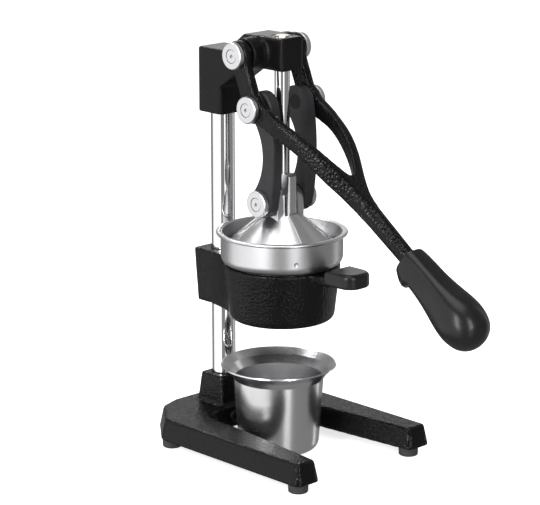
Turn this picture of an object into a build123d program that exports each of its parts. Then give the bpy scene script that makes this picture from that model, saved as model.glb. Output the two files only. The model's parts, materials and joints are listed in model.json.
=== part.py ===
from build123d import *
import math
import os

# A hand citrus press. Millimetres, +Z up, the long lever points to -Y, and the lever's
# pivots turn about X. Every piece is drawn on the press axis, where the rod slides, with
# the floor at Z = 0. The whole model is then moved along Y, so that the origin is under
# the middle of its box.

# ------------------------------------------------------------ driving dimensions
# chrome post and press rod
COLUMN_D = 24.0
COLUMN_Y = 85.0
ROD_D = 15.0
ROD_TOP = 419.0
ROD_BOTTOM = 243.0

# base casting
FOOT_H = 10.4
FOOT_R = 10.0
BASE_TOP = 32.3
BASE_HALF_W = 88.5
BASE_FRONT = 114.0
BASE_REAR = 118.0
BASE_WALL = 6.0
BASE_DRAFT = 4.6
LEG_TIP_W = 22.5
LEG_ROOT_W = 36.0
LEG_ROOT_Y = 20.0
CROSSBAR_FRONT_Y = 62.0
REAR_FLAT_X = 38.0
REAR_BEND = (60.0, 7.0)
REAR_SIDE_DROP = 42.0
TOE_CORNER_R = 4.0
REAR_CORNER_R = 12.0
BASE_EDGE_R = 2.2
INNER_CORNER_R = 24.0
FRONT_FOOT = (77.0, -102.0)
REAR_FOOT = (76.0, 80.0)
PEDESTAL_TOP = 62.0
PEDESTAL_HALF = 18.0
PEDESTAL_FLARE = 2.5
SOCKET_FLOOR = 26.0
BOLT_R = 5.0
BOLT_HEAD_AF = 17.0
BOLT_HEAD_T = 6.0
BOLT_WELL_R = 13.5
BOLT_WELL_DEPTH = 9.0
BOLT_REACH = 22.0
FOOT_SCREW_R = 2.0
FOOT_SCREW_DEPTH = 12.0
FOOT_WELL_R = 5.4
FOOT_WELL_DEPTH = 5.4
SET_SCREW_R = 3.0
WASHER_T = 2.0
WASHER_R = 10.5
SET_SCREW_X = 9.0
SET_SCREW_Z = 21.0
SET_HEAD_R = 6.4
SET_HEAD_H = 4.5

# head casting
HEAD_TOP = 418.0
HEAD_BOTTOM = 386.0
HEAD_FRONT_Y = -15.0
HEAD_HALF_W = 14.5
NECK_HALF_W = 18.0
REAR_BLOCK_TOP = 398.0
REAR_BLOCK_BOTTOM = 333.0
BLOCK_HALF_DEPTH = 17.2
NECK_SLOPE_Y = (36.0, 62.0)
GUSSET_Z = 361.5
GUSSET_SLOPE = 1.45
HEAD_CORNER_R = 3.5
HEAD_EDGE_R = 1.6
HEAD_ROOF = 4.0
BUSH_WALL = 2.5
BUSH_L = 11.0

# lever and link pivots: (Y, Z) of the head pivot, the crank pin and the press pin
PIVOT_A = (21.0, 401.0)
PIVOT_B = (1.0, 351.3)
PIVOT_C = (0.0, 256.8)
SHAFT_R = 6.0
PIN_R = 5.0
RUNNING = 0.05
SIDE_GAP = 0.5
CAP_GAP = 0.2
BOSS_R = 16.0
BOSS_OUT = 31.0
RING_R = 17.5
ARM_T = 10.5
EYE_R = 14.6
LINK_T = 11.5
LINK_EYE_R = 16.0
LINK_FOOT_R = 14.6
LINK_W = 16.7
LINK_BOW = 19.3
CAP_R = 13.2
CAP_T = 5.6
CAP_SEAT_R = 7.0
CAP_SEAT_DEPTH = 1.8
CAP_GROOVE = 0.45
CAP_SCREW_R = 3.0
CAP_HEX_AF = 3.6
CAP_EDGE_R = 1.5
CAP_BACK_EDGE = 0.6
CAP_SCREW_L = 9.0
TAPPED = 12.0

# lever
CRANK_W = 19.5
FORK_START_Y = -25.0
SHANK_R = 8.4
SHANK_START = (-112.0, 269.1)
GRIP_FRONT = (-170.0, 228.0)
GRIP_L = 110.0
TANG_R = 6.0
TANG_L = 78.0

# (Y, Z) along the top and the underside of the fork's arms, (X, Y) round its plan, and
# (distance from the front, radius) of the grip
FORK_OUTSIDE = ((40.0, -38.0), (36.0, -54.0), (30.4, -70.0), (23.6, -83.6), (16.4, -95.5),
                (10.6, -107.0), (6.6, -124.0))
FORK_INSIDE = ((29.8, -38.0), (25.2, -54.0), (19.0, -70.0), (11.6, -83.6), (5.6, -91.4), (0.0, -95.0))
ARM_TOP = ((-4.0, 363.5), (-31.0, 345.4), (-52.6, 333.3), (-70.0, 321.2), (-83.6, 309.3),
           (-94.8, 298.4), (-106.7, 286.3), (-124.0, 271.2))
ARM_UNDER = ((-124.0, 252.0), (-106.7, 264.7), (-94.8, 276.6), (-83.6, 287.7), (-70.0, 300.8),
             (-52.6, 314.7), (-31.0, 327.2), (4.0, 341.0))
GRIP_STATIONS = ((0.0, 12.4), (1.4, 13.8), (9.0, 16.4), (21.0, 18.0), (38.0, 18.5),
                 (56.0, 20.2), (72.0, 23.0), (82.0, 23.8))

# press cone
CONE_RIM_R = 56.0
CONE_RIM_Z = 210.5
CONE_HALF_ANGLE = 50.0
CONE_SKIRT = 4.5
CONE_WALL = 3.6
CONE_TOP_R = 17.0
CONE_ROOF_Z = ROD_BOTTOM - 6.0
PAD_RISE = 1.3
PAD_ARC = 48
PAD_START = -108
GROOVE_ARC = 8
GROOVE_STARTS = (-58, 150)
HUB_WALL = 3.2
ROD_SCREW_R = 4.0
EAR_R = 12.6
EAR_OUT = 18.0
EAR_T = 8.0
KEY_HALF_W = 5.5
KEY_FRONT_Y = -15.5
KEY_TOP = 284.0

# bowl holder
HOLDER_TOP = 193.0
HOLDER_TOP_R = 58.0
HOLDER_FLOOR_R = 52.8
HOLDER_BOTTOM = 137.5
HOLDER_WALL = 6.0
SPOUT_R = 11.0
SPOUT_BORE_R = 8.0
SPOUT_BOTTOM = 130.0
CLAMP_HALF_W = 21.6
CLAMP_REAR_Y = 106.5
CLAMP_TOP = 192.8
CLAMP_BOTTOM = 138.0
HOLDER_CORNER_R = 6.0
WEB_FLARE_TOP = (42.0, 36.0)
WEB_FLARE_LOW = (37.0, 32.0)
TAB_HALF_W = 14.0
TAB_T = 8.5
TAB_Y = -HOLDER_TOP_R            # where the tab leaves the bowl
TAB_L = 19.0
TONGUE_HALF_W = 8.0
TONGUE_T = 5.0
TONGUE_END = 34.0
GRIP_SCREW_AT = 26.0
PADDLE_HALF_W = 17.2
PADDLE_END = 53.0
PADDLE_RISE = 9.0
PADDLE_DROP = 5.8

# strainer, reamer and cup
STRAINER_R = 60.4
STRAINER_RIM_R = 65.0
STRAINER_TOP = 226.2
STRAINER_CORNER_R = 8.6
STRAINER_WALL = 1.2
STRAINER_DROP = 6.0
SPIGOT_GAP = 0.4
RIM_FLATNESS = 0.62
SLOT_RINGS = ((45.5, 30), (38.5, 24))      # (radius, number of slots)
REAMER_R = 33.0
REAMER_TOP = 227.0
REAMER_WALL = 1.5
CUP_Y = 4.5
CUP_H = 88.4
CUP_RIM_R = 57.6
CUP_R = 45.0
CUP_FOOT_R = 40.0
CUP_CORNER_R = 10.0
CUP_WALL = 1.2
CUP_NECK_Z = 74.0
CUP_LIP_R = 50.0
CUP_LIP_Z = 81.0

FIT = 0.1                    # radial room of a piece that only has to slip in
BOSS_IN_X = EAR_OUT + SIDE_GAP
LINK_OUT_X = BOSS_IN_X + LINK_T
ARM_IN_X = BOSS_OUT + SIDE_GAP
ARM_OUT_X = ARM_IN_X + ARM_T
SIDES = (("left", -1), ("right", 1))


# ------------------------------------------------------------ small helpers
def plate(face_yz, x_from, x_to):
    """Thickens an outline drawn in Y and Z from one X to another."""
    return extrude(Plane.YZ.offset(x_from) * face_yz, x_to - x_from)


def slab(face_xy, z_from, z_to):
    """Thickens an outline drawn in X and Y from one height to another."""
    return extrude(Plane.XY.offset(z_from) * face_xy, z_to - z_from)


def block(x, y, z):
    """Box between two values in each direction."""
    size = (x[1] - x[0], y[1] - y[0], z[1] - z[0])
    middle = ((x[0] + x[1]) / 2, (y[0] + y[1]) / 2, (z[0] + z[1]) / 2)
    return Pos(*middle) * Box(*size)


def bar_x(radius, x_from, x_to, centre):
    """Round bar along X, centred on (Y, Z)."""
    place = Plane((x_from, centre[0], centre[1]), x_dir=(0, 1, 0), z_dir=(1, 0, 0))
    return extrude(place * Circle(radius), x_to - x_from)


def bar_z(radius, z_from, z_to, centre=(0.0, 0.0)):
    """Round bar along Z, centred on (X, Y)."""
    return Pos(centre[0], centre[1], z_from) * extrude(Circle(radius), z_to - z_from)


def bar_y(radius, y_from, y_to, centre):
    """Round bar along Y, centred on (X, Z)."""
    place = Plane((centre[0], y_from, centre[1]), x_dir=(1, 0, 0), z_dir=(0, 1, 0))
    return extrude(place * Circle(radius), y_to - y_from)


def turned(points, arc=360.0, start=0.0):
    """Solid of revolution about Z from an outline of (radius, height) points."""
    face = make_face(Polyline(*[(r, 0, z) for r, z in points], close=True))
    return Rot(0, 0, start) * revolve(face, Axis.Z, revolution_arc=arc)


def rounded(shape, edges, radius):
    """Shape with some of its edges rounded."""
    return fillet(edges, radius) if edges else shape


def hexagon(across_flats):
    return RegularPolygon(across_flats / 2, 6, major_radius=False)


def mirrored_x(shape):
    return mirror(shape, about=Plane.YZ)


def wide_edges_at(shape, x):
    """Edges of the face at X, without the rims of its bores."""
    return shape.edges().filter_by(lambda e: abs(e.center().X - x) < 0.01 and e.length > 50)


# ------------------------------------------------------------ base
def base_outline(inset=0.0):
    """Plan of the base: two legs joined behind by the crossbar, rear corners cut off."""
    outer = BASE_HALF_W - inset
    rear = BASE_REAR - inset
    half = [
        (REAR_FLAT_X, rear),
        (REAR_BEND[0] - inset / 2, rear - REAR_BEND[1]),
        (outer, BASE_REAR - REAR_SIDE_DROP - inset / 3),
        (outer, inset - BASE_FRONT),
        (BASE_HALF_W - LEG_TIP_W + inset, inset - BASE_FRONT),
        (BASE_HALF_W - LEG_ROOT_W + inset, LEG_ROOT_Y),
        (BASE_HALF_W - LEG_ROOT_W + inset, CROSSBAR_FRONT_Y + inset),
    ]
    other = [(-x, y) for x, y in reversed(half)]
    return make_face(Polyline(*(half + other), close=True))


def foot_places():
    places = {}
    for side, sign in SIDES:
        places["front_" + side] = (sign * FRONT_FOOT[0], FRONT_FOOT[1])
        places["rear_" + side] = (sign * REAR_FOOT[0], REAR_FOOT[1])
    return places


def pedestal():
    """Raised socket that holds the foot of the post."""
    low = PEDESTAL_HALF + PEDESTAL_FLARE
    depth = BLOCK_HALF_DEPTH
    bottom = Pos(0, COLUMN_Y, BASE_TOP) * RectangleRounded(2 * low, 2 * depth + 4, 3.0)
    top = Pos(0, COLUMN_Y, PEDESTAL_TOP) * RectangleRounded(2 * PEDESTAL_HALF, 2 * depth - 3, 3.0)
    return loft([bottom.face(), top.face()])


def make_base():
    body_h = BASE_TOP - FOOT_H
    draft = math.degrees(math.atan(BASE_DRAFT / body_h))
    outline = base_outline()
    inner = [v for v in outline.vertices() if abs(v.Y - CROSSBAR_FRONT_Y) < 1]
    outline = fillet(inner, INNER_CORNER_R)
    outline = fillet([v for v in outline.vertices() if v.Y < -BASE_FRONT + 1], TOE_CORNER_R)
    outline = fillet([v for v in outline.vertices() if v.Y > CROSSBAR_FRONT_Y + 2], REAR_CORNER_R)
    skin = extrude(Plane.XY.offset(BASE_TOP) * outline, -body_h, taper=-draft)
    cavity = slab(base_outline(BASE_WALL), FOOT_H, BASE_TOP - BASE_WALL)
    core = block((-PEDESTAL_HALF - 3, PEDESTAL_HALF + 3),
                 (CROSSBAR_FRONT_Y, COLUMN_Y + BLOCK_HALF_DEPTH + 2), (FOOT_H, BASE_TOP))
    cavity -= core
    for x, y in foot_places().values():
        cavity -= bar_z(FOOT_R - 2, FOOT_H, BASE_TOP, (x, y))
    top_edges = skin.edges().filter_by(lambda e: e.center().Z > BASE_TOP - 0.01)
    skin = rounded(skin, top_edges, BASE_EDGE_R)
    body = skin + pedestal()
    body -= cavity
    body -= bar_z(COLUMN_D / 2 + RUNNING, SOCKET_FLOOR, PEDESTAL_TOP + 1, (0, COLUMN_Y))
    body -= bar_z(BOLT_R + 0.5, FOOT_H, SOCKET_FLOOR, (0, COLUMN_Y))
    body -= bar_z(BOLT_WELL_R, FOOT_H - 1, FOOT_H + BOLT_WELL_DEPTH, (0, COLUMN_Y))
    for x, y in foot_places().values():
        body -= bar_z(FOOT_SCREW_R, FOOT_H - 1, FOOT_H + FOOT_SCREW_DEPTH, (x, y))
    for sign in (-1, 1):
        place = (sign * SET_SCREW_X, SET_SCREW_Z)
        body -= bar_y(SET_SCREW_R, CROSSBAR_FRONT_Y - 1, COLUMN_Y, place)
        body -= bar_y(SET_HEAD_R + FIT, CROSSBAR_FRONT_Y - 20, CROSSBAR_FRONT_Y, place)
    return body


def make_foot(place):
    profile = [(0, 0), (FOOT_R - 1.4, 0), (FOOT_R - 0.4, 1.0), (FOOT_R, FOOT_H), (0, FOOT_H)]
    foot = turned(profile) - bar_z(FOOT_WELL_R, -1, FOOT_WELL_DEPTH) - bar_z(FOOT_SCREW_R, 0, FOOT_H + 1)
    return Pos(place[0], place[1], 0) * foot


def pan_screw(radius, length, head_r, head_h):
    """Cross-slot screw with its head downwards; the top of the head is at Z = 0."""
    head = bar_z(head_r, -head_h, 0)
    head = fillet(head.edges().filter_by(lambda e: e.center().Z < -head_h + 0.01), head_h * 0.4)
    slot = Pos(0, 0, -head_h) * (Box(head_r, 1, 2) + Box(1, head_r, 2))
    return head - slot + bar_z(radius, 0, length)


def make_foot_screws():
    screw = Pos(0, 0, FOOT_WELL_DEPTH) * pan_screw(FOOT_SCREW_R, FOOT_H + 5, 4.6, 2.6)
    return Compound(children=[Pos(x, y, 0) * screw for x, y in foot_places().values()])


def make_column():
    top = REAR_BLOCK_TOP - HEAD_ROOF
    bar = bar_z(COLUMN_D / 2, SOCKET_FLOOR, top)
    bar = chamfer(bar.edges().filter_by(GeomType.CIRCLE), 1.0)
    return Pos(0, COLUMN_Y, 0) * (bar - bar_z(BOLT_R, SOCKET_FLOOR - 1, SOCKET_FLOOR + BOLT_REACH + 2))


def make_column_washer():
    seat = FOOT_H + BOLT_WELL_DEPTH
    washer = bar_z(WASHER_R, seat - WASHER_T, seat, (0, COLUMN_Y))
    return washer - bar_z(BOLT_R + 0.3, seat - WASHER_T - 1, seat + 1, (0, COLUMN_Y))


def make_column_bolt():
    seat = FOOT_H + BOLT_WELL_DEPTH - WASHER_T
    head = Pos(0, 0, seat - BOLT_HEAD_T) * extrude(hexagon(BOLT_HEAD_AF), BOLT_HEAD_T)
    return Pos(0, COLUMN_Y, 0) * (head + bar_z(BOLT_R, seat, SOCKET_FLOOR + BOLT_REACH))


def make_column_set_screws():
    """Two round-headed socket screws in the crossbar's front, seated on spot faces."""
    front = CROSSBAR_FRONT_Y
    reach = COLUMN_Y - math.sqrt((COLUMN_D / 2) ** 2 - SET_SCREW_X ** 2) - 1.5
    screws = []
    for sign in (-1, 1):
        place = (sign * SET_SCREW_X, SET_SCREW_Z)
        head = bar_y(SET_HEAD_R, front - SET_HEAD_H, front, place)
        head = fillet(head.edges().filter_by(lambda e: e.center().Y < front - 4), 1.2)
        socket = Plane((place[0], front - SET_HEAD_H - 0.5, place[1]), z_dir=(0, 1, 0)) * hexagon(5.0)
        head -= extrude(socket, 3.5)
        screws.append(head + bar_y(SET_SCREW_R, front, reach, place))
    return Compound(children=screws)


# ------------------------------------------------------------ head
def head_outline():
    rear = COLUMN_Y + BLOCK_HALF_DEPTH
    front = COLUMN_Y - BLOCK_HALF_DEPTH
    drop = (HEAD_BOTTOM - GUSSET_Z) * GUSSET_SLOPE
    return [
        (HEAD_FRONT_Y, HEAD_BOTTOM), (front - drop, HEAD_BOTTOM), (front, GUSSET_Z),
        (front, REAR_BLOCK_BOTTOM), (rear, REAR_BLOCK_BOTTOM), (rear, REAR_BLOCK_TOP),
        (NECK_SLOPE_Y[1], REAR_BLOCK_TOP), (NECK_SLOPE_Y[0], HEAD_TOP), (HEAD_FRONT_Y, HEAD_TOP),
    ]


def make_head():
    whole = make_face(Polyline(*head_outline(), close=True))
    split = PIVOT_A[0]
    wide = split_keep(plate(whole, -NECK_HALF_W, NECK_HALF_W), split, 1)
    narrow = split_keep(plate(whole, -HEAD_HALF_W, HEAD_HALF_W), split + 2, -1)
    rear = COLUMN_Y + BLOCK_HALF_DEPTH
    front = COLUMN_Y - BLOCK_HALF_DEPTH
    posts = wide.edges().filter_by(Axis.Z).filter_by(lambda e: e.center().Y > front - 1)
    wide = rounded(wide, posts, HEAD_CORNER_R)
    crown = wide.edges().filter_by(lambda e: e.center().Z > REAR_BLOCK_TOP - 0.01)
    crown = crown.filter_by(lambda e: e.center().Y > split + 1)
    wide = rounded(wide, crown, HEAD_EDGE_R)
    nose = narrow.edges().filter_by(Axis.Z).filter_by(lambda e: e.center().Y < HEAD_FRONT_Y + 0.1)
    narrow = rounded(narrow, nose, HEAD_CORNER_R - 0.5)
    brow = narrow.edges().filter_by(lambda e: e.center().Z > HEAD_TOP - 0.01 and e.center().Y < split)
    narrow = rounded(narrow, brow, HEAD_EDGE_R)
    body = wide + narrow
    body += bar_x(RING_R - 0.6, -NECK_HALF_W, NECK_HALF_W, PIVOT_A)
    body += bar_x(BOSS_R, -BOSS_OUT, BOSS_OUT, PIVOT_A)
    body -= bar_x(SHAFT_R, -BOSS_OUT - 1, BOSS_OUT + 1, PIVOT_A)
    bush_r = ROD_D / 2 + BUSH_WALL
    body -= bar_z(ROD_D / 2 + 0.7, HEAD_BOTTOM - 1, HEAD_TOP + 1)
    body -= bar_z(bush_r, HEAD_BOTTOM - 1, HEAD_BOTTOM + BUSH_L)
    body -= bar_z(bush_r, HEAD_TOP - BUSH_L - 1, HEAD_TOP + 1)
    body -= bar_z(COLUMN_D / 2 + RUNNING, REAR_BLOCK_BOTTOM - 1, REAR_BLOCK_TOP - HEAD_ROOF, (0, COLUMN_Y))
    for z in head_screw_heights():
        body -= bar_y(SET_SCREW_R, COLUMN_Y, rear + 1, (0, z))
    return body


def split_keep(shape, y, sign):
    """Keeps the part of a shape behind (sign 1) or in front of (sign -1) a plane at Y."""
    span = 300.0
    far = (y, y + span) if sign > 0 else (y - span, y)
    return shape & block((-span, span), far, (0, 2 * span))


def head_screw_heights():
    return (REAR_BLOCK_BOTTOM + 16, REAR_BLOCK_TOP - 18)


def grub_screws(rear_y, heights):
    """Socket grub screws from behind, bearing on the post."""
    screws = []
    for z in heights:
        screw = bar_y(SET_SCREW_R, COLUMN_Y + COLUMN_D / 2, rear_y - 0.6, (0, z))
        socket = Plane((0, rear_y, z), z_dir=(0, -1, 0)) * hexagon(3.0)
        screws.append(screw - extrude(socket, 3.0))
    return Compound(children=screws)


def make_bush(z_from):
    outer = bar_z(ROD_D / 2 + BUSH_WALL, z_from, z_from + BUSH_L - 0.4)
    return outer - bar_z(ROD_D / 2 + RUNNING, z_from - 1, z_from + BUSH_L)


def make_pivot_shaft():
    end = ARM_OUT_X + SIDE_GAP
    shaft = bar_x(SHAFT_R, -end, end, PIVOT_A)
    for x_from, x_to in ((-end - 1, TAPPED - end), (end - TAPPED, end + 1)):
        shaft -= bar_x(CAP_SCREW_R, x_from, x_to, PIVOT_A)
    return shaft


def make_cap(x_in, centre, sign):
    """Round pivot cap with a rounded face and a seat for its screw; x_in is its inner face."""
    cap = bar_x(CAP_R, x_in, x_in + CAP_T, centre)
    cap = fillet(cap.edges().filter_by(lambda e: e.center().X > x_in + CAP_T - 0.01), CAP_EDGE_R)
    cap = chamfer(cap.edges().filter_by(lambda e: e.center().X < x_in + 0.01), CAP_BACK_EDGE)
    cap -= bar_x(CAP_SEAT_R, x_in + CAP_T - CAP_SEAT_DEPTH, x_in + CAP_T + 1, centre)
    cap -= bar_x(CAP_SCREW_R, x_in - 1, x_in + CAP_T + 1, centre)
    return cap if sign > 0 else mirrored_x(cap)


def make_cap_screw(x_in, centre, sign):
    """Low-head socket screw that fills the cap's seat."""
    face = x_in + CAP_T - 0.3
    head = bar_x(CAP_SEAT_R - CAP_GROOVE, x_in + CAP_T - CAP_SEAT_DEPTH, face, centre)
    head = chamfer(head.edges().filter_by(lambda e: e.center().X > face - 0.01), 0.35)
    screw = head + bar_x(CAP_SCREW_R, x_in - CAP_SCREW_L, x_in + CAP_T - CAP_SEAT_DEPTH, centre)
    socket = Plane((face + 1, centre[0], centre[1]), x_dir=(0, 1, 0), z_dir=(-1, 0, 0))
    screw -= extrude(socket * hexagon(CAP_HEX_AF), 4.0)
    return screw if sign > 0 else mirrored_x(screw)


def eye_bush(inner_r, outer_r, x_from, x_to, centre, sign):
    bush = bar_x(outer_r, x_from, x_to, centre) - bar_x(inner_r + RUNNING, x_from - 1, x_to + 1, centre)
    return bush if sign > 0 else mirrored_x(bush)


# ------------------------------------------------------------ lever
def lever_side():
    """Side view of crank and fork: from the head pivot down to the crank pin, then forward."""
    a = Vector(*PIVOT_A)
    b = Vector(*PIVOT_B)
    along = (b - a).normalized()
    across = Vector(-along.Y, along.X) * (CRANK_W / 2)
    crank = make_face(Polyline(a + across, b + across, b - across, a - across, close=True))
    top = Spline(*ARM_TOP)
    bottom = Spline(*ARM_UNDER)
    arm = make_face(Curve() + [top, Line(top @ 1, bottom @ 0), bottom, Line(bottom @ 1, top @ 0)])
    eyes = Pos(*PIVOT_A) * Circle(EYE_R) + Pos(*PIVOT_B) * Circle(EYE_R)
    return crank + arm + eyes


def arch(half_x, curve, last_direction):
    """Plan of an arch: straight sides behind, then a curve that closes in front."""
    back = PIVOT_A[0] + EYE_R + 5
    sides = []
    for sign in (1, -1):
        points = [(sign * x, y) for x, y in ((half_x, FORK_START_Y), *curve)]
        sides.append(Spline(*points, tangents=[(0, -1), (sign * last_direction[0], last_direction[1])]))
    right, left = sides
    nose = [Line(right @ 1, left @ 1)] if curve[-1][0] else []
    return make_face(Curve() + [
        Line((half_x, back), right @ 0), right, *nose, left,
        Line(left @ 0, (-half_x, back)), Line((-half_x, back), (half_x, back)),
    ])


def fork_plan():
    """Plan view of the fork: two legs that run back beside the head and close on the shank."""
    return arch(ARM_OUT_X, FORK_OUTSIDE, (-0.15, -1)) - arch(ARM_IN_X, FORK_INSIDE, (-1, 0))


def shank_axis():
    start = Vector(0, *SHANK_START)
    end = Vector(0, *GRIP_FRONT)
    return start, end, (end - start).normalized()


def make_lever():
    side = plate(lever_side(), -ARM_OUT_X, ARM_OUT_X)
    fork = side & slab(fork_plan(), 200, 450)
    start, end, along = shank_axis()
    place = Plane(start, x_dir=(1, 0, 0), z_dir=along)
    length = (end - start).length
    root = place * Ellipse(SHANK_R + 1.8, SHANK_R + 1.2)
    tip = place.offset(length + 4) * Circle(SHANK_R)
    shank = loft([root.face(), tip.face()])
    tang = extrude(place.offset(length + 4) * Circle(TANG_R), TANG_L)
    lever = fork + shank + tang
    for centre, radius in ((PIVOT_A, SHAFT_R + BUSH_WALL), (PIVOT_B, PIN_R)):
        lever -= bar_x(radius, -ARM_OUT_X - 1, ARM_OUT_X + 1, centre)
    return lever


def make_grip():
    last_t, last_r = GRIP_STATIONS[-1]
    front = (GRIP_STATIONS[0][1], 0)
    flank = Spline(*[(r, t) for t, r in GRIP_STATIONS[1:]], tangents=[(0.45, 1), (0, 1)])
    dome = Spline((last_r, last_t), (0, GRIP_L), tangents=[(0, 1), (-1, 0)])
    outline = Curve() + [Line((0, 0), front), Line(front, flank @ 0), flank, dome,
                         Line((0, GRIP_L), (0, 0))]
    body = revolve(Plane.XZ * make_face(outline), Axis.Z)
    body -= bar_z(SHANK_R + FIT, -1, 4.0 + FIT)
    body -= bar_z(TANG_R, 0, TANG_L + 4.0 + FIT)
    _, end, along = shank_axis()
    return Plane(end, x_dir=(1, 0, 0), z_dir=along) * body


def make_pin(centre, x_from, x_to, cap_in, sign):
    """Plain pin with a threaded hole for the cap's screw."""
    pin = bar_x(PIN_R, x_from, x_to, centre) - bar_x(CAP_SCREW_R, cap_in - CAP_SCREW_L - 0.2, x_to + 1, centre)
    return pin if sign > 0 else mirrored_x(pin)


# ------------------------------------------------------------ links
def touching_arc(reach, side):
    """Arc that touches both link eyes and comes forward to Y = reach.

    side is -1 for the arc around the eyes' front and 1 for the hollow behind them. Returns
    the touching point on the upper eye, the foremost point and the one on the lower eye.
    """
    (b_y, b_z), (c_y, c_z) = PIVOT_B, PIVOT_C
    near, far = 20.0, 3000.0
    for _ in range(60):
        centre = (near + far) / 2
        radius = centre - reach
        up = math.sqrt(max((radius + side * LINK_EYE_R) ** 2 - (centre - b_y) ** 2, 0))
        down = math.sqrt(max((radius + side * LINK_FOOT_R) ** 2 - (centre - c_y) ** 2, 0))
        if up + down < b_z - c_z:
            near = centre
        else:
            far = centre
    height = b_z - up
    middle = Vector(centre, height)
    ends = []
    for eye, eye_r in ((Vector(b_y, b_z), LINK_EYE_R), (Vector(c_y, c_z), LINK_FOOT_R)):
        ends.append(eye + (middle - eye).normalized() * (side * eye_r))
    return ends[0], Vector(reach, height), ends[1]


def link_outline():
    """Side view of a link: two round eyes joined by a bar that bows forward."""
    front = touching_arc(-LINK_BOW, -1)
    rear = touching_arc(LINK_W - LINK_BOW, 1)
    top = (PIVOT_B[0], PIVOT_B[1] + LINK_EYE_R)
    bottom = (PIVOT_C[0], PIVOT_C[1] - LINK_FOOT_R)
    return make_face(Curve() + [
        ThreePointArc(*front), ThreePointArc(front[2], bottom, rear[2]),
        ThreePointArc(rear[2], rear[1], rear[0]), ThreePointArc(rear[0], top, front[0]),
    ])


def make_link(sign):
    link = plate(link_outline(), BOSS_IN_X, LINK_OUT_X)
    link -= bar_x(PIN_R + BUSH_WALL, BOSS_IN_X - 1, LINK_OUT_X + 1, PIVOT_B)
    link -= bar_x(PIN_R + RUNNING, BOSS_IN_X - 1, LINK_OUT_X + 1, PIVOT_C)
    link = fillet(wide_edges_at(link, LINK_OUT_X), 2.2)
    return link if sign > 0 else mirrored_x(link)


# ------------------------------------------------------------ press
def make_rod():
    rod = bar_z(ROD_D / 2, ROD_BOTTOM, ROD_TOP)
    rod = chamfer(rod.edges().filter_by(lambda e: e.center().Z > ROD_TOP - 0.01), 1.0)
    return rod - bar_z(ROD_SCREW_R, ROD_BOTTOM - 1, ROD_BOTTOM + 14)


def cone_height(radius):
    return CONE_RIM_Z + (CONE_RIM_R - radius) / math.tan(math.radians(CONE_HALF_ANGLE))


def make_press_cone():
    thick = CONE_WALL / math.sin(math.radians(CONE_HALF_ANGLE))
    top_z = cone_height(CONE_TOP_R)
    inner_r = CONE_RIM_R - CONE_WALL
    roof_r = CONE_RIM_R - (CONE_ROOF_Z + thick - CONE_RIM_Z) * math.tan(math.radians(CONE_HALF_ANGLE))
    cone = turned([
        (0, CONE_ROOF_Z), (roof_r, CONE_ROOF_Z), (inner_r, cone_height(inner_r) - thick),
        (inner_r, CONE_RIM_Z - CONE_SKIRT), (CONE_RIM_R, CONE_RIM_Z - CONE_SKIRT),
        (CONE_RIM_R, CONE_RIM_Z), (CONE_TOP_R, top_z), (0, top_z),
    ])
    pad_r = CONE_RIM_R - 0.6
    pad = [(CONE_TOP_R, top_z), (pad_r, cone_height(pad_r)),
           (pad_r, cone_height(pad_r) + PAD_RISE), (CONE_TOP_R, top_z + PAD_RISE)]
    groove = [(r, z + PAD_RISE - 2.6) for r, z in pad[:2]] + [(r + 1, z + 2) for r, z in pad[2:]]
    for turn in (0, 180):
        cone += turned(pad, arc=PAD_ARC, start=turn + PAD_START)
        for start in GROOVE_STARTS:
            cone -= turned(groove, arc=GROOVE_ARC, start=turn + start)
    hub_z = CONE_ROOF_Z + 0.5
    hub = bar_z(ROD_D / 2 + HUB_WALL, hub_z, PIVOT_C[1] + 6)
    ear = make_face(Polyline((-EAR_R, hub_z), (EAR_R, hub_z), (EAR_R, PIVOT_C[1]),
                             (-EAR_R, PIVOT_C[1]), close=True)) + Pos(*PIVOT_C) * Circle(EAR_R)
    ears = plate(ear, EAR_OUT - EAR_T, EAR_OUT)
    ears = fillet(ears.edges().filter_by(lambda e: abs(e.center().X - EAR_OUT) < 0.01), 0.8)
    key = block((-KEY_HALF_W, KEY_HALF_W), (KEY_FRONT_Y, 0), (hub_z, KEY_TOP))
    key = fillet(key.edges().filter_by(Axis.Z).filter_by(lambda e: e.center().Y < -1), 2.5)
    slant = Pos(0, KEY_FRONT_Y, KEY_TOP) * Rot(24, 0, 0) * Box(40, 40, 8)
    body = cone + hub + ears + mirrored_x(ears) + key - Pos(0, 0, 2.2) * slant
    body -= bar_z(ROD_D / 2, ROD_BOTTOM, KEY_TOP + 20)
    body -= bar_z(ROD_SCREW_R, CONE_ROOF_Z - 1, ROD_BOTTOM + 1)
    for sign in (-1, 1):
        bore = bar_x(PIN_R, EAR_OUT - EAR_T - 1, EAR_OUT + 1, PIVOT_C)
        body -= bore if sign > 0 else mirrored_x(bore)
    return body


def make_rod_screw():
    low = CONE_ROOF_Z - 6
    head = bar_z(6.5, low, CONE_ROOF_Z)
    head = chamfer(head.edges().filter_by(lambda e: e.center().Z < low + 0.1), 0.8)
    socket = Pos(0, 0, low - 1) * extrude(hexagon(6.0), 4)
    return head - socket + bar_z(ROD_SCREW_R, CONE_ROOF_Z, ROD_BOTTOM + 12)


# ------------------------------------------------------------ bowl holder
def web_plan(flare_x, flare_y, half_w, rear):
    """Plan of the clamp block and its two flanks, which flare to meet the bowl."""
    right = ThreePointArc((half_w, COLUMN_Y - 3), (half_w + 4.6, COLUMN_Y - 24), (flare_x, flare_y))
    left = ThreePointArc((-flare_x, flare_y), (-half_w - 4.6, COLUMN_Y - 24), (-half_w, COLUMN_Y - 3))
    outline = Curve() + [
        Line((-half_w, rear), (half_w, rear)), Line((half_w, rear), right @ 0), right,
        Line(right @ 1, left @ 0), left, Line(left @ 1, (-half_w, rear)),
    ]
    return make_face(outline)


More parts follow.
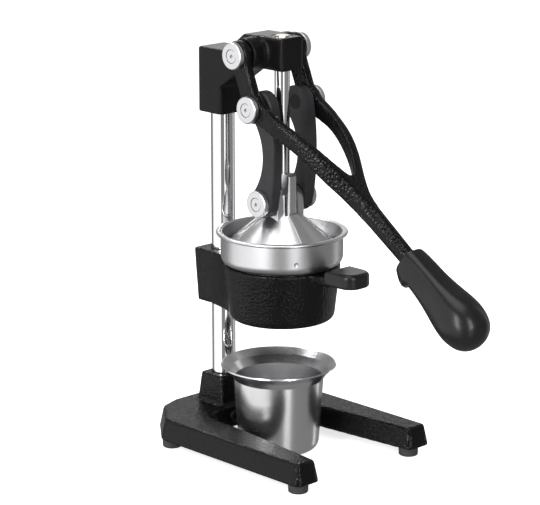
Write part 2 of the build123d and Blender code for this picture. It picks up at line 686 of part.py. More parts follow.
def bowl_inside_r(z):
    """Inner radius of the bowl at a height on its straight wall."""
    low_r, low_z = HOLDER_FLOOR_R - HOLDER_WALL + 0.4, HOLDER_BOTTOM + 10
    top_r = HOLDER_TOP_R - HOLDER_WALL
    return top_r - (HOLDER_TOP - z) * (top_r - low_r) / (HOLDER_TOP - low_z)


def make_holder():
    bowl = turned([(0, HOLDER_BOTTOM), (HOLDER_FLOOR_R - 1, HOLDER_BOTTOM),
                   (HOLDER_TOP_R, HOLDER_TOP), (0, HOLDER_TOP)])
    bowl = fillet(bowl.edges().filter_by(lambda e: e.center().Z < HOLDER_BOTTOM + 0.01), HOLDER_CORNER_R)
    top = Pos(0, 0, CLAMP_TOP) * web_plan(*WEB_FLARE_TOP, CLAMP_HALF_W, CLAMP_REAR_Y)
    low = Pos(0, 0, CLAMP_BOTTOM) * web_plan(*WEB_FLARE_LOW, CLAMP_HALF_W - 1.5, CLAMP_REAR_Y - 3.5)
    web = loft([low.face(), top.face()])
    rear_corners = web.edges().filter_by(lambda e: e.center().Y > CLAMP_REAR_Y - 8)
    rear_corners = rear_corners.filter_by(lambda e: abs(e.center().X) > 10)
    rear_corners = rear_corners.filter_by(lambda e: CLAMP_BOTTOM + 5 < e.center().Z < CLAMP_TOP - 5)
    web = fillet(rear_corners, 3.0)
    tab = block((-TAB_HALF_W, TAB_HALF_W), (TAB_Y - TAB_L, TAB_Y + 8), (CLAMP_TOP - TAB_T, CLAMP_TOP))
    tongue = block((-TONGUE_HALF_W, TONGUE_HALF_W), (TAB_Y - TONGUE_END, TAB_Y - TAB_L + 1),
                   (CLAMP_TOP - TONGUE_T, CLAMP_TOP))
    body = bowl + web + tab + tongue
    body += bar_z(SPOUT_R, SPOUT_BOTTOM, HOLDER_BOTTOM + 4)
    inside = turned([
        (0, SPOUT_BOTTOM - 1), (SPOUT_BORE_R, SPOUT_BOTTOM - 1), (SPOUT_BORE_R, HOLDER_BOTTOM + 3),
        (HOLDER_FLOOR_R - HOLDER_WALL - 2, HOLDER_BOTTOM + 6),
        (bowl_inside_r(HOLDER_BOTTOM + 10), HOLDER_BOTTOM + 10),
        (HOLDER_TOP_R - HOLDER_WALL, HOLDER_TOP), (0, HOLDER_TOP)])
    body -= inside
    body -= bar_z(STRAINER_R + 0.8, HOLDER_TOP, CLAMP_TOP + 1)
    body -= bar_z(COLUMN_D / 2 + RUNNING, CLAMP_BOTTOM - 1, CLAMP_TOP + 1, (0, COLUMN_Y))
    for z in holder_screw_heights():
        body -= bar_y(SET_SCREW_R, COLUMN_Y, CLAMP_REAR_Y + 1, (0, z))
    body -= bar_z(2.5, CLAMP_TOP - 6, CLAMP_TOP + 1, (0, TAB_Y - GRIP_SCREW_AT))
    return body


def holder_screw_heights():
    return (CLAMP_BOTTOM + 13, CLAMP_TOP - 13)


def make_holder_grip():
    """Moulded paddle pushed over the tongue and held by a screw from below."""
    low, high = CLAMP_TOP - PADDLE_DROP, CLAMP_TOP + PADDLE_RISE
    body = block((-PADDLE_HALF_W, PADDLE_HALF_W), (TAB_Y - PADDLE_END, TAB_Y - TAB_L + 0.8), (low, high))
    body = fillet(body.edges().filter_by(Axis.Z).filter_by(lambda e: e.center().Y < TAB_Y - PADDLE_END + 5), 14.0)
    body = fillet(body.edges().filter_by(lambda e: abs(e.center().Z - high) < 0.01), 4.5)
    body = fillet(body.edges().filter_by(lambda e: abs(e.center().Z - low) < 0.01), 3.0)
    room = TONGUE_HALF_W + FIT
    body -= block((-room, room), (TAB_Y - TONGUE_END - FIT, TAB_Y - TAB_L + 2),
                  (CLAMP_TOP - TONGUE_T - FIT, CLAMP_TOP + FIT))
    body -= bar_z(2.6, CLAMP_TOP - 8, CLAMP_TOP - 2, (0, TAB_Y - GRIP_SCREW_AT))
    return body - block((-18, 18), (TAB_Y - TAB_L, TAB_Y - 10), (CLAMP_TOP - TAB_T - 1, CLAMP_TOP + FIT))


def make_holder_grip_screw():
    screw = Pos(0, 0, CLAMP_TOP - PADDLE_DROP) * pan_screw(2.5, 5.4, 4.4, 2.2)
    return Pos(0, TAB_Y - GRIP_SCREW_AT, 0) * screw


# ------------------------------------------------------------ strainer, reamer, cup
def make_strainer():
    r = STRAINER_R
    seat = HOLDER_TOP
    spigot = bowl_inside_r(seat - STRAINER_DROP) - SPIGOT_GAP
    w = STRAINER_WALL
    corner = STRAINER_CORNER_R
    floor = seat - STRAINER_DROP
    side = Line((r, STRAINER_TOP - 1), (r, seat + corner))
    bend = RadiusArc((r, seat + corner), (r - corner, seat), corner)
    step = Polyline((r - corner, seat), (spigot, seat), (spigot, floor), (REAMER_R - 6, floor))
    inner = Polyline((REAMER_R - 6, floor), (REAMER_R - 6, floor + w), (spigot - w, floor + w),
                     (spigot - w, seat + w), (r - corner, seat + w))
    inner_bend = RadiusArc((r - corner, seat + w), (r - w, seat + corner), -(corner - w))
    inner_side = Polyline((r - w, seat + corner), (r - w, STRAINER_TOP - 1), (r, STRAINER_TOP - 1))
    face = make_face(Curve() + [side, bend, step, inner, inner_bend, inner_side])
    body = revolve(Plane.XZ * face, Axis.Z)
    bead_r = (STRAINER_RIM_R - r + w) / 2
    bead_h = bead_r * RIM_FLATNESS
    bead = Pos(STRAINER_RIM_R - bead_r, 0, STRAINER_TOP - bead_h) * (Plane.XZ * Ellipse(bead_r, bead_h))
    body += revolve(bead, Axis.Z)
    dimple = Rot(0, 0, -120.8) * Pos(r + 4.0, 0, seat + 12.5) * Sphere(4.6)
    body -= dimple
    for ring_r, count in SLOT_RINGS:
        for i in range(count):
            slot = Pos(ring_r, 0, floor) * Box(4.2, 1.8, 6)
            body -= Rot(0, 0, 360.0 * i / count) * slot
    return body


def make_reamer():
    """Slotted cone that the fruit half sits on, resting by its flange on the strainer's floor."""
    floor = HOLDER_TOP - STRAINER_DROP + STRAINER_WALL
    w = REAMER_WALL
    foot = REAMER_R - 5
    nose_r = 7.0
    body = turned([
        (REAMER_R, floor), (REAMER_R, floor + w), (foot + 0.5, floor + w),
        (nose_r, REAMER_TOP - 6), (nose_r - 2.5, REAMER_TOP - 2), (2.5, REAMER_TOP), (0, REAMER_TOP),
        (0, REAMER_TOP - w - 0.4), (nose_r - 3.2, REAMER_TOP - 5), (foot - w, floor)])
    ridge = [(foot - 1, floor + w), (foot + 2.0, floor + w),
             (nose_r + 1.4, REAMER_TOP - 9), (nose_r - 1, REAMER_TOP - 9)]
    rib = Plane.XZ * make_face(Polyline(*ridge, close=True))
    rib = Pos(0, 0.9, 0) * extrude(rib, 1.8)
    for i in range(8):
        body += Rot(0, 0, 45 * i) * rib
    for i in range(8):
        slot = Pos(foot - 5.5, 0, floor + 13) * Box(24, 2.4, 14)
        body -= Rot(0, 0, 45 * i + 22.5) * slot
    return body


def make_cup():
    """Sheet-metal cup: a tapered body, a creased neck and a lip that leans out."""
    w = CUP_WALL
    low_r = CUP_FOOT_R + 0.6
    outside = Polyline((low_r, CUP_CORNER_R), (CUP_R, CUP_NECK_Z), (CUP_LIP_R, CUP_LIP_Z),
                       (CUP_RIM_R, CUP_H - w), (CUP_RIM_R - 0.5, CUP_H), (CUP_RIM_R - w - 0.2, CUP_H - 0.5))
    inside = Polyline((CUP_RIM_R - w - 0.2, CUP_H - 0.5), (CUP_LIP_R - 0.6, CUP_LIP_Z + 1.1),
                      (CUP_R - w, CUP_NECK_Z + 0.6), (low_r - w, CUP_CORNER_R))
    in_bend = RadiusArc((low_r - w, CUP_CORNER_R), (CUP_FOOT_R - CUP_CORNER_R, w), CUP_CORNER_R - w)
    floor = Polyline((CUP_FOOT_R - CUP_CORNER_R, w), (0, w), (0, 0), (CUP_FOOT_R - CUP_CORNER_R, 0))
    bend = RadiusArc((CUP_FOOT_R - CUP_CORNER_R, 0), (low_r, CUP_CORNER_R), -CUP_CORNER_R)
    face = make_face(Curve() + [outside, inside, in_bend, floor, bend])
    return Pos(0, CUP_Y, 0) * revolve(Plane.XZ * face, Axis.Z)


# ------------------------------------------------------------ assembly
def build_parts():
    parts = {
        "base": make_base(),
        "foot_screws": make_foot_screws(),
        "column": make_column(),
        "column_washer": make_column_washer(),
        "column_bolt": make_column_bolt(),
        "column_set_screws": make_column_set_screws(),
        "head": make_head(),
        "head_set_screws": grub_screws(COLUMN_Y + BLOCK_HALF_DEPTH, head_screw_heights()),
        "rod_bush_upper": make_bush(HEAD_TOP - BUSH_L),
        "rod_bush_lower": make_bush(HEAD_BOTTOM + 0.4),
        "pivot_shaft": make_pivot_shaft(),
        "bowl_holder": make_holder(),
        "holder_set_screws": grub_screws(CLAMP_REAR_Y - 1.5, holder_screw_heights()),
        "holder_grip": make_holder_grip(),
        "holder_grip_screw": make_holder_grip_screw(),
        "strainer": make_strainer(),
        "reamer": make_reamer(),
        "lever": make_lever(),
        "lever_grip": make_grip(),
        "press_rod": make_rod(),
        "press_cone": make_press_cone(),
        "rod_screw": make_rod_screw(),
        "juice_cup": make_cup(),
    }
    for name, place in foot_places().items():
        parts["foot_" + name] = make_foot(place)
    crank_cap = ARM_OUT_X + SIDE_GAP
    press_cap = LINK_OUT_X + CAP_GAP
    for side, sign in SIDES:
        parts["head_cap_" + side] = make_cap(crank_cap, PIVOT_A, sign)
        parts["head_cap_screw_" + side] = make_cap_screw(crank_cap, PIVOT_A, sign)
        parts["head_bush_" + side] = eye_bush(SHAFT_R, SHAFT_R + BUSH_WALL, ARM_IN_X, ARM_OUT_X,
                                              PIVOT_A, sign)
        parts["crank_cap_" + side] = make_cap(crank_cap, PIVOT_B, sign)
        parts["crank_cap_screw_" + side] = make_cap_screw(crank_cap, PIVOT_B, sign)
        parts["crank_pin_" + side] = make_pin(PIVOT_B, LINK_OUT_X + SIDE_GAP, crank_cap, crank_cap, sign)
        parts["link_" + side] = make_link(sign)
        pin = bar_x(PIN_R, BOSS_IN_X + CAP_GAP, LINK_OUT_X, PIVOT_B)
        parts["link_pin_" + side] = pin if sign > 0 else mirrored_x(pin)
        parts["link_bush_" + side] = eye_bush(PIN_R, PIN_R + BUSH_WALL, BOSS_IN_X, LINK_OUT_X,
                                              PIVOT_B, sign)
        parts["press_cap_" + side] = make_cap(press_cap, PIVOT_C, sign)
        parts["press_cap_screw_" + side] = make_cap_screw(press_cap, PIVOT_C, sign)
        parts["press_pin_" + side] = make_pin(PIVOT_C, EAR_OUT - EAR_T, press_cap, press_cap, sign)
    return parts


def middle_y(parts):
    """Middle of the whole model's box along Y."""
    boxes = [shape.bounding_box() for shape in parts.values()]
    return (min(b.min.Y for b in boxes) + max(b.max.Y for b in boxes)) / 2


def main():
    parts = build_parts()
    shift = -middle_y(parts)
    os.makedirs("parts", exist_ok=True)
    for name, shape in parts.items():
        export_step(Pos(0, shift, 0) * shape, "parts/" + name + ".step")
    print("moved along Y by", round(shift, 3))


main()
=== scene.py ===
import json
import math

import bpy
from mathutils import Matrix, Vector


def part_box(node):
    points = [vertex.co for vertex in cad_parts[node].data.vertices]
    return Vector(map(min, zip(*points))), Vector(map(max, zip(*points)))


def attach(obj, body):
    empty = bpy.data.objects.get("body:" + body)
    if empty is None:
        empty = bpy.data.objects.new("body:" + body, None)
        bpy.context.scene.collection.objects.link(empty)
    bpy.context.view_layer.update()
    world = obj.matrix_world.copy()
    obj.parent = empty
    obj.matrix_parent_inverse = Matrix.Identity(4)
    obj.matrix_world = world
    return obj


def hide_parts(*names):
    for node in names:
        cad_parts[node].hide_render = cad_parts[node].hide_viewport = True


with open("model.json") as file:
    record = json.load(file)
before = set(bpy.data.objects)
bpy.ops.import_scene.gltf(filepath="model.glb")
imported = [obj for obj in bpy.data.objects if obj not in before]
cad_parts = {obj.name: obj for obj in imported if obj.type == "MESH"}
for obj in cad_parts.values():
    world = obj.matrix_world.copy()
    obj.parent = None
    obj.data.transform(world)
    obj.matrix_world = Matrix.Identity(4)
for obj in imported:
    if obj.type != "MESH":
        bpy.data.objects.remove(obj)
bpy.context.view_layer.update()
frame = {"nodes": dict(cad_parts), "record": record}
MM = 0.001


# ------------------------------------------------------------------ places, all from the frame
def middle(node):
    low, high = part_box(node)
    return (low + high) / 2


AXIS_Y = middle("press_rod").y       # the rod, the cone and the bowl share this axis
HEAD_PIVOT = middle("head_cap_left")
CRANK_PIVOT = middle("crank_cap_left")
PRESS_PIVOT = middle("press_cap_left")


# ------------------------------------------------------------------ shader sums
class Number:
    """A socket that carries a number, so that sums of sockets read as sums."""

    def __init__(self, finish, socket):
        self.finish = finish
        self.socket = socket

    def sum(self, operation, *others):
        feeds = [other.socket if isinstance(other, Number) else other for other in others]
        return self.finish.math(operation, *feeds)

    def __add__(self, other):
        return self.sum("ADD", self, other)

    def __mul__(self, other):
        return self.sum("MULTIPLY", self, other)

    def least(self, other):
        return self.sum("MINIMUM", self, other)


class Finish:
    """One surface finish, made of nodes."""

    def __init__(self, name, metallic=0.0, specular=0.5):
        self.material = bpy.data.materials.new(name)
        self.material.use_nodes = True
        self.tree = self.material.node_tree
        self.shader = self.tree.nodes["Principled BSDF"]
        self.place = self.node("ShaderNodeTexCoord").outputs["Object"]
        self.shader.inputs["Metallic"].default_value = metallic
        self.shader.inputs["Specular IOR Level"].default_value = specular

    def node(self, kind, settings=None, inputs=None):
        made = self.tree.nodes.new(kind)
        for key, value in (settings or {}).items():
            if key == "stops":
                ramp = made.color_ramp
                while len(ramp.elements) < len(value):
                    ramp.elements.new(0.5)
                for element, (position, shade) in zip(ramp.elements, value):
                    element.position = position
                    element.color = (shade, shade, shade, 1)
            else:
                setattr(made, key, value)
        for key, value in (inputs or {}).items():
            if isinstance(value, Number):
                value = value.socket
            if isinstance(value, bpy.types.NodeSocket):
                self.tree.links.new(value, made.inputs[key])
            else:
                made.inputs[key].default_value = value
        return made

    def math(self, operation, *feeds):
        inputs = dict(enumerate(feeds))
        made = self.node("ShaderNodeMath", {"operation": operation}, inputs)
        return Number(self, made.outputs[0])

    def at(self, scale=(1, 1, 1), centre=(0, 0, 0)):
        """Object coordinates measured from a centre, then stretched."""
        shift = [-c * s for c, s in zip(centre, scale)]
        inputs = {"Vector": self.place, "Location": shift, "Scale": scale}
        return self.node("ShaderNodeMapping", {}, inputs).outputs[0]

    def noise(self, scale, detail=3.0, rough=0.55, where=None):
        inputs = {"Vector": where or self.place, "Scale": scale, "Detail": detail,
                  "Roughness": rough}
        return Number(self, self.node("ShaderNodeTexNoise", {}, inputs).outputs[0])

    def cells(self, scale, smooth):
        inputs = {"Vector": self.place, "Scale": scale, "Smoothness": smooth}
        made = self.node("ShaderNodeTexVoronoi", {"feature": "SMOOTH_F1"}, inputs)
        return Number(self, made.outputs[0])

    def ramp(self, number, *stops):
        made = self.node("ShaderNodeValToRGB", {"stops": stops}, {"Fac": number})
        return Number(self, made.outputs[0])

    def distance(self, centre, flat):
        """Distance from a centre, leaving out the directions whose weight is zero."""
        where = self.at(flat, centre)
        made = self.node("ShaderNodeVectorMath", {"operation": "LENGTH"}, {0: where})
        return Number(self, made.outputs["Value"])

    def tint(self, number, dark, light):
        mix = self.node("ShaderNodeMix", {"data_type": "RGBA"}, {"Factor": number})
        mix.inputs[6].default_value = (*dark, 1)
        mix.inputs[7].default_value = (*light, 1)
        self.tree.links.new(mix.outputs[2], self.shader.inputs["Base Color"])

    def roughness(self, number):
        self.tree.links.new(number.socket, self.shader.inputs["Roughness"])

    def relief(self, *layers):
        """Surface relief: (height socket, depth in metres, strength), the coarsest first."""
        normal = None
        for height, depth, strength in layers:
            inputs = {"Height": height, "Distance": depth, "Strength": strength}
            if normal:
                inputs["Normal"] = normal
            normal = self.node("ShaderNodeBump", {}, inputs).outputs[0]
        self.tree.links.new(normal, self.shader.inputs["Normal"])


# ------------------------------------------------------------------ finishes
def hammered_paint():
    """Glossy black paint that dries in small round dimples over cast iron."""
    paint = Finish("hammered_black_paint", specular=0.17)
    warp = paint.noise(150, 2.0)
    dimples = paint.cells(400, 0.2) + warp * 0.2
    ripple = paint.noise(700, 1.5)
    # painted shade: the base colour follows the dimple relief, darker in the hollows and lighter
    # on the rims
    painted_dimple_shade = paint.ramp(dimples, (0.15, 0.0), (0.75, 1.0))
    paint.tint(painted_dimple_shade, (0.0012, 0.0012, 0.0013), (0.003, 0.003, 0.0032))
    paint.roughness(paint.noise(60, 3.0) * 0.1 + 0.13)
    paint.relief((dimples, 0.0009, 0.55), (ripple, 0.0005, 0.4))
    return paint.material


def smooth_casting_paint():
    """Black powder coat with a fine orange peel."""
    paint = Finish("satin_black_casting", specular=0.13)
    peel = paint.noise(620, 2.0)
    grain = paint.noise(2600, 2.0)
    paint.tint(paint.noise(40, 3.0), (0.0025, 0.0025, 0.0027), (0.005, 0.005, 0.0053))
    paint.roughness(paint.noise(110, 3.0) * 0.12 + 0.14)
    paint.relief((peel, 0.00035, 0.35), (grain, 0.0001, 0.25))
    return paint.material


def link_paint():
    """Dark grey satin powder coat."""
    paint = Finish("dark_grey_link_paint", specular=0.2)
    peel = paint.noise(900, 2.5)
    paint.tint(paint.noise(55, 3.0), (0.011, 0.011, 0.012), (0.024, 0.024, 0.026))
    paint.roughness(paint.noise(160, 3.0) * 0.15 + 0.29)
    paint.relief((peel, 0.00025, 0.35))
    return paint.material


def chrome():
    """Drawn and plated bar: near-mirror, with the faintest draw lines."""
    plate = Finish("chrome_plate", metallic=1.0)
    lines = plate.noise(1.0, 3.0, where=plate.at((2600, 2600, 18)))
    plate.tint(plate.noise(30, 2.0), (0.74, 0.74, 0.75), (0.82, 0.82, 0.83))
    plate.roughness(lines * 0.05 + 0.06)
    plate.relief((lines, 0.00002, 0.12))
    return plate.material


CAP_REACH = 0.016            # a little past a cap's edge
TURNED_LINES = 9000


def turned_zinc():
    """Satin zinc caps: a fine turned grain round each pivot."""
    zinc = Finish("turned_zinc", metallic=1.0)
    nearest = None
    for pivot in (HEAD_PIVOT, CRANK_PIVOT, PRESS_PIVOT):
        radius = zinc.distance((0, pivot.y, pivot.z), (0, 1, 1)).least(CAP_REACH)
        nearest = radius if nearest is None else nearest.least(radius)
    turned = zinc.math("SINE", (nearest * TURNED_LINES).socket)
    grain = zinc.noise(2300, 3.0)
    zinc.tint(grain, (0.5, 0.5, 0.51), (0.78, 0.78, 0.79))
    zinc.roughness(zinc.noise(500, 3.0) * 0.16 + 0.26)
    zinc.relief((turned, 0.00002, 0.25), (grain, 0.00008, 0.3))
    return zinc.material


def brushed(name, low, high, rough):
    """Stainless sheet, brushed round the axis of the bowl."""
    steel = Finish(name, metallic=1.0)
    lines = steel.noise(1.0, 4.0, 0.6, where=steel.at((26, 26, 3600)))
    patches = steel.noise(18, 3.0)
    steel.tint(lines * 0.6 + patches * 0.4, low, high)
    steel.roughness(lines * 0.12 + patches * 0.05 + rough)
    steel.relief((lines, 0.00002, 0.35))
    return steel.material


def pressed_aluminium():
    """Cast press cone, turned and polished along its slope."""
    metal = Finish("polished_cast_aluminium", metallic=1.0)
    radius = metal.distance((0, AXIS_Y, 0), (1, 1, 0))
    along = metal.node("ShaderNodeCombineXYZ", {}, {"X": radius * 2600}).outputs[0]
    rings = metal.noise(1.0, 3.0, where=along)
    grain = metal.noise(1400, 3.0)
    metal.tint(rings * 0.5 + grain * 0.5, (0.55, 0.55, 0.56), (0.76, 0.76, 0.77))
    metal.roughness(grain * 0.12 + rings * 0.08 + 0.2)
    metal.relief((rings, 0.00002, 0.3), (grain, 0.00005, 0.25))
    return metal.material


def steel(name, shade, rough):
    """Small turned steel fasteners and pins."""
    metal = Finish(name, metallic=1.0)
    grain = metal.noise(1800, 3.0)
    light = [min(1.0, c * 1.4) for c in shade]
    metal.tint(grain, shade, light)
    metal.roughness(grain * 0.15 + rough)
    metal.relief((grain, 0.00005, 0.3))
    return metal.material


def bronze():
    metal = Finish("oiled_bronze", metallic=1.0)
    pores = metal.noise(2600, 3.0)
    metal.tint(metal.ramp(pores, (0.35, 0.0), (0.6, 1.0)), (0.2, 0.13, 0.06), (0.56, 0.4, 0.2))
    metal.roughness(pores * 0.2 + 0.28)
    metal.relief((pores, 0.00005, 0.4))
    return metal.material


def moulded_plastic():
    """Black moulded grip with a fine spark-eroded texture."""
    plastic = Finish("black_moulded_plastic", specular=0.26)
    spark = plastic.noise(3200, 2.0)
    flow = plastic.noise(35, 3.0)
    plastic.tint(flow, (0.005, 0.005, 0.0053), (0.009, 0.009, 0.0095))
    plastic.roughness(flow * 0.08 + spark * 0.06 + 0.2)
    plastic.relief((flow, 0.0004, 0.12), (spark, 0.00008, 0.3))
    return plastic.material


def rubber():
    skin = Finish("black_rubber")
    bloom = skin.noise(90, 4.0)
    skin.tint(bloom, (0.012, 0.012, 0.012), (0.03, 0.03, 0.03))
    skin.roughness(bloom * 0.15 + 0.6)
    skin.relief((skin.noise(1500, 3.0), 0.0001, 0.4))
    return skin.material


FINISHES = {
    "hammered_black": hammered_paint(),
    "satin_black_casting": smooth_casting_paint(),
    "grey_paint": link_paint(),
    "chrome": chrome(),
    "zinc": turned_zinc(),
    "dark_steel": steel("dark_steel", (0.02, 0.02, 0.021), 0.4),
    "bright_steel": steel("bright_steel", (0.5, 0.5, 0.51), 0.24),
    "bronze": bronze(),
    "stainless": brushed("brushed_stainless", (0.5, 0.5, 0.51), (0.68, 0.68, 0.69), 0.26),
    "polished_stainless": brushed("polished_stainless", (0.6, 0.6, 0.61), (0.8, 0.8, 0.81), 0.16),
    "cast_aluminium": pressed_aluminium(),
    "black_plastic": moulded_plastic(),
    "black_rubber": rubber(),
}


def paint_cad_nodes():
    """Each machined node gets the finish of its slot in the record."""
    for part in frame["record"]["subparts"]:
        slots = frame["nodes"][part["node"]].data.materials
        slots.clear()
        slots.append(FINISHES[part["material_slot"]])


# ------------------------------------------------------------------ modelling helpers
def clear():
    if bpy.context.object and bpy.context.object.mode != "OBJECT":
        bpy.ops.object.mode_set(mode="OBJECT")
    bpy.ops.object.select_all(action="DESELECT")


def take(piece):
    clear()
    piece.select_set(True)
    bpy.context.view_layer.objects.active = piece


def settle(piece):
    """Puts a finished piece's place into its mesh and smooths its shading."""
    take(piece)
    bpy.ops.object.transform_apply(location=True, rotation=True, scale=True)
    bpy.ops.object.shade_smooth()


def slot_of(node):
    return next(p["material_slot"] for p in frame["record"]["subparts"] if p["node"] == node)


def body_of(node):
    groups = frame["record"]["behaviour"]["bodies"]
    return next(body for body, members in groups.items() if node in members)


def finish_piece(piece, node):
    """A new piece takes its node's place, body and finish."""
    piece.data.materials.clear()
    piece.data.materials.append(FINISHES[slot_of(node)])
    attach(piece, body_of(node))
    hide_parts(node)
    return piece


MERGE = 0.002 * MM


def copy_of(node, name):
    """A joined-up copy of a machined node's mesh, ready to be worked on."""
    piece = bpy.data.objects.new(name, frame["nodes"][node].data.copy())
    bpy.context.scene.collection.objects.link(piece)
    take(piece)
    bpy.ops.object.mode_set(mode="EDIT")
    bpy.ops.mesh.select_all(action="SELECT")
    bpy.ops.mesh.remove_doubles(threshold=MERGE)
    bpy.ops.object.mode_set(mode="OBJECT")
    return piece


CASTINGS = {
    # node: (size of the even mesh in millimetres, smoothing passes)
    "base": (1.4, 8), "lever": (1.1, 40), "bowl_holder": (1.2, 8), "head": (1.0, 8),
}


def casting(node, grain, passes):
    """A casting: the machined shape with every corner worn round, as sand moulds leave it."""
    piece = copy_of(node, node + "_casting")
    even = piece.modifiers.new("even_mesh", "REMESH")
    even.mode = "VOXEL"
    even.voxel_size = grain * MM
    soft = piece.modifiers.new("worn_corners", "SMOOTH")
    soft.factor = 0.5
    soft.iterations = passes
    take(piece)
    bpy.ops.object.modifier_apply(modifier=even.name)
    bpy.ops.object.modifier_apply(modifier=soft.name)
    settle(piece)
    return finish_piece(piece, node)


# ------------------------------------------------------------------ lever grip
GRIP_RINGS = (
    # distance from the front, half width, half depth, squareness of the section
    (0.0, 12.4, 12.7, 0.3), (0.3, 13.2, 13.6, 0.4), (1.2, 13.7, 14.2, 0.5),
    (9.0, 14.2, 14.9, 0.7), (21.0, 14.6, 15.4, 0.8), (38.0, 15.2, 16.2, 0.8),
    (54.0, 17.5, 18.6, 0.65), (68.0, 20.9, 21.7, 0.35), (80.0, 23.0, 23.6, 0.15),
    (90.0, 22.9, 23.2, 0.05), (99.0, 20.3, 20.5, 0.0), (105.0, 15.4, 15.6, 0.0),
    (108.7, 8.6, 8.7, 0.0), (109.8, 3.0, 3.0, 0.0),
)
GRIP_SIDES = 64
GRIP_SLOPE = Vector((0, -72, -51)).normalized()     # the shank drops 51 for every 72 forward
GRIP_FRONT_R = 12.4 * MM
# finger stop, in millimetres: its place and height, the lengths of its two slopes, its width
STOP_AT = 13.0
STOP_DEPTH = 10.0
STOP_RISE = 11.0
STOP_FALL = 4.5
STOP_WIDTH = 13.0


def grip_line():
    """Front end and direction of the grip, from the box that it fills."""
    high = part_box("lever_grip")[1]
    across = Vector((0, abs(GRIP_SLOPE.z), abs(GRIP_SLOPE.y)))
    return Vector((0, high.y, high.z)) - across * GRIP_FRONT_R, GRIP_SLOPE


def section_point(turn, half_width, half_depth, square):
    """Point of a section between an ellipse and a squared oval, at a turn round the grip."""
    power = 2.0 / (2.0 + 1.6 * square)
    c, s = math.cos(turn), math.sin(turn)
    x = math.copysign(abs(c) ** power, c) * half_width
    y = math.copysign(abs(s) ** power, s) * half_depth
    return x, y


def make_grip():
    """Moulded grip: flattened sides, a swollen end and a finger stop under its front."""
    front, slope = grip_line()
    clear()
    bpy.ops.mesh.primitive_circle_add(vertices=GRIP_SIDES, radius=0.01, location=(0, 0, 0))
    grip = bpy.context.object
    grip.name = "moulded_lever_grip"
    bpy.ops.object.mode_set(mode="EDIT")
    bpy.ops.mesh.select_all(action="SELECT")
    for _ in GRIP_RINGS[1:]:
        bpy.ops.mesh.extrude_region_move(TRANSFORM_OT_translate={"value": (0, 0, MM)})
    bpy.ops.mesh.edge_face_add()
    bpy.ops.object.mode_set(mode="OBJECT")
    down = Vector((0, 0, -1))
    under = (down - slope * down.dot(slope)).normalized()
    side = slope.cross(under)
    for i, vertex in enumerate(grip.data.vertices):
        ring, place = divmod(i, GRIP_SIDES)
        distance, half_width, half_depth, square = GRIP_RINGS[ring]
        x, y = section_point(2 * math.pi * place / GRIP_SIDES, half_width, half_depth, square)
        vertex.co = front + slope * distance * MM + side * x * MM + under * y * MM
    take(grip)
    bpy.ops.object.mode_set(mode="EDIT")
    bpy.ops.mesh.select_all(action="SELECT")
    bpy.ops.mesh.normals_make_consistent(inside=False)
    bpy.ops.object.mode_set(mode="OBJECT")
    rounder = grip.modifiers.new("rounder", "SUBSURF")
    rounder.levels = rounder.render_levels = 2
    bpy.ops.object.modifier_apply(modifier=rounder.name)
    raise_finger_stop(grip, front, slope, under, side)
    settle(grip)
    return finish_piece(grip, "lever_grip")


def raise_finger_stop(grip, front, slope, under, side):
    """Swells the underside near the front into a stop for the first finger."""
    for vertex in grip.data.vertices:
        reach = vertex.co - front
        along = reach.dot(slope) / MM - STOP_AT
        low = reach.dot(under)
        if low > 0:
            # a long ramp from the front, then a sharp drop into the neck
            length = STOP_RISE if along < 0 else STOP_FALL
            lift = math.exp(-abs(along / length) ** 2.5)
            lift *= math.exp(-(reach.dot(side) / MM / STOP_WIDTH) ** 2)
            vertex.co += under * (STOP_DEPTH * MM * lift)


# ------------------------------------------------------------------ scene
def make_floor():
    clear()
    bpy.ops.mesh.primitive_plane_add(size=30, location=(0, 0, 0))
    floor = bpy.context.object
    floor.name = "floor"
    floor.visible_glossy = False
    paper = Finish("white_paper", specular=0.0)
    paper.tint(paper.noise(3.0, 2.0), (0.86, 0.86, 0.86), (0.88, 0.88, 0.88))
    paper.roughness(paper.noise(8.0, 2.0) * 0.1 + 0.6)
    paper.shader.inputs["Emission Color"].default_value = (1, 1, 1, 1)
    paper.shader.inputs["Emission Strength"].default_value = 0.72
    floor.data.materials.append(paper.material)


def soft_box(name, round_by, height, size, glow, distance):
    """A soft box beside the object, at an angle from the camera's side (right is positive)."""
    turn = CAMERA_AZIMUTH + math.radians(round_by)
    out = Vector((math.sin(turn), -math.cos(turn), 0))
    where = Vector((0, AXIS_Y, 0)) + out * distance + Vector((0, 0, height))
    hang_light(name, where, Vector((0, AXIS_Y, height)), size, glow)


def hang_light(name, where, target, size, glow):
    """An area light whose face has a given brightness, whatever its size."""
    data = bpy.data.lights.new(name, "AREA")
    data.shape = "RECTANGLE"
    data.size, data.size_y = size
    data.energy = glow * math.pi * size[0] * size[1]
    lamp = bpy.data.objects.new(name, data)
    bpy.context.scene.collection.objects.link(lamp)
    lamp.location = where
    lamp.rotation_euler = (target - where).to_track_quat("-Z", "Y").to_euler()


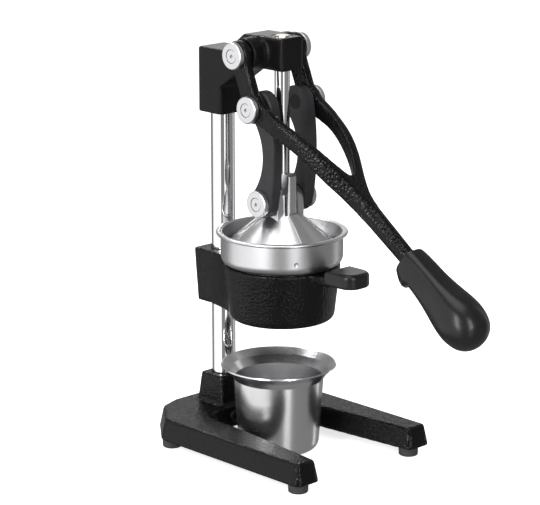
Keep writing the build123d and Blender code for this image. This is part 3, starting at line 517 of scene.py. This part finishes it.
SOFT_BOXES = (
    # name, angle, height, (width, height of the face), brightness, distance
    ("left_wall", -50, 0.5, (2.5, 3.2), 1.15, 2.2),
    ("left_back", -95, 0.5, (1.3, 3.2), 1.0, 2.2),
    ("right_strip", 23, 0.5, (0.7, 3.2), 1.3, 2.2),
    ("right_edge", 122, 0.5, (0.3, 3.2), 1.2, 2.2),
    ("left_core", -34, 1.0, (0.3, 1.6), 22.0, 2.1),
    ("right_core", 24, 1.1, (0.18, 1.6), 26.0, 2.1),
    ("back", 180, 0.9, (1.6, 0.9), 0.8, 2.2),
)


def make_lights():
    world = bpy.data.worlds.new("studio")
    bpy.context.scene.world = world
    world.use_nodes = True
    world.node_tree.nodes["Background"].inputs["Color"].default_value = (1, 1, 1, 1)
    world.node_tree.nodes["Background"].inputs["Strength"].default_value = 0.26
    for box in SOFT_BOXES:
        soft_box(*box)
    hang_light("top", Vector((-0.3, -0.1, 2.3)), Vector((0, 0, 0.2)), (1.5, 1.5), 3.0)
    hang_light("top_core", Vector((0.2, 1.2, 1.7)), Vector((0, 0, 0.2)), (0.9, 0.3), 14.0)
    bpy.context.scene.view_settings.view_transform = "Standard"


CAMERA_AZIMUTH = math.radians(-43.85)
CAMERA_HEIGHT = math.radians(14.58)
CAMERA_DISTANCE = 2.3441
CAMERA_LENS = 157.8
CAMERA_AIM = Vector((0, AXIS_Y + 0.01698, 0.19951))


def make_camera():
    data = bpy.data.cameras.new("camera")
    data.sensor_width = 36
    data.lens = CAMERA_LENS
    camera = bpy.data.objects.new("camera", data)
    bpy.context.scene.collection.objects.link(camera)
    a, e = CAMERA_AZIMUTH, CAMERA_HEIGHT
    back = Vector((math.sin(a) * math.cos(e), -math.cos(a) * math.cos(e), math.sin(e)))
    camera.location = CAMERA_AIM + back * CAMERA_DISTANCE
    camera.rotation_mode = "QUATERNION"
    camera.rotation_quaternion = (-back).to_track_quat("-Z", "Y")
    bpy.context.scene.camera = camera


paint_cad_nodes()
make_grip()
for casting_node, (casting_grain, casting_passes) in CASTINGS.items():
    casting(casting_node, casting_grain, casting_passes)
make_floor()
make_lights()
make_camera()

clear()
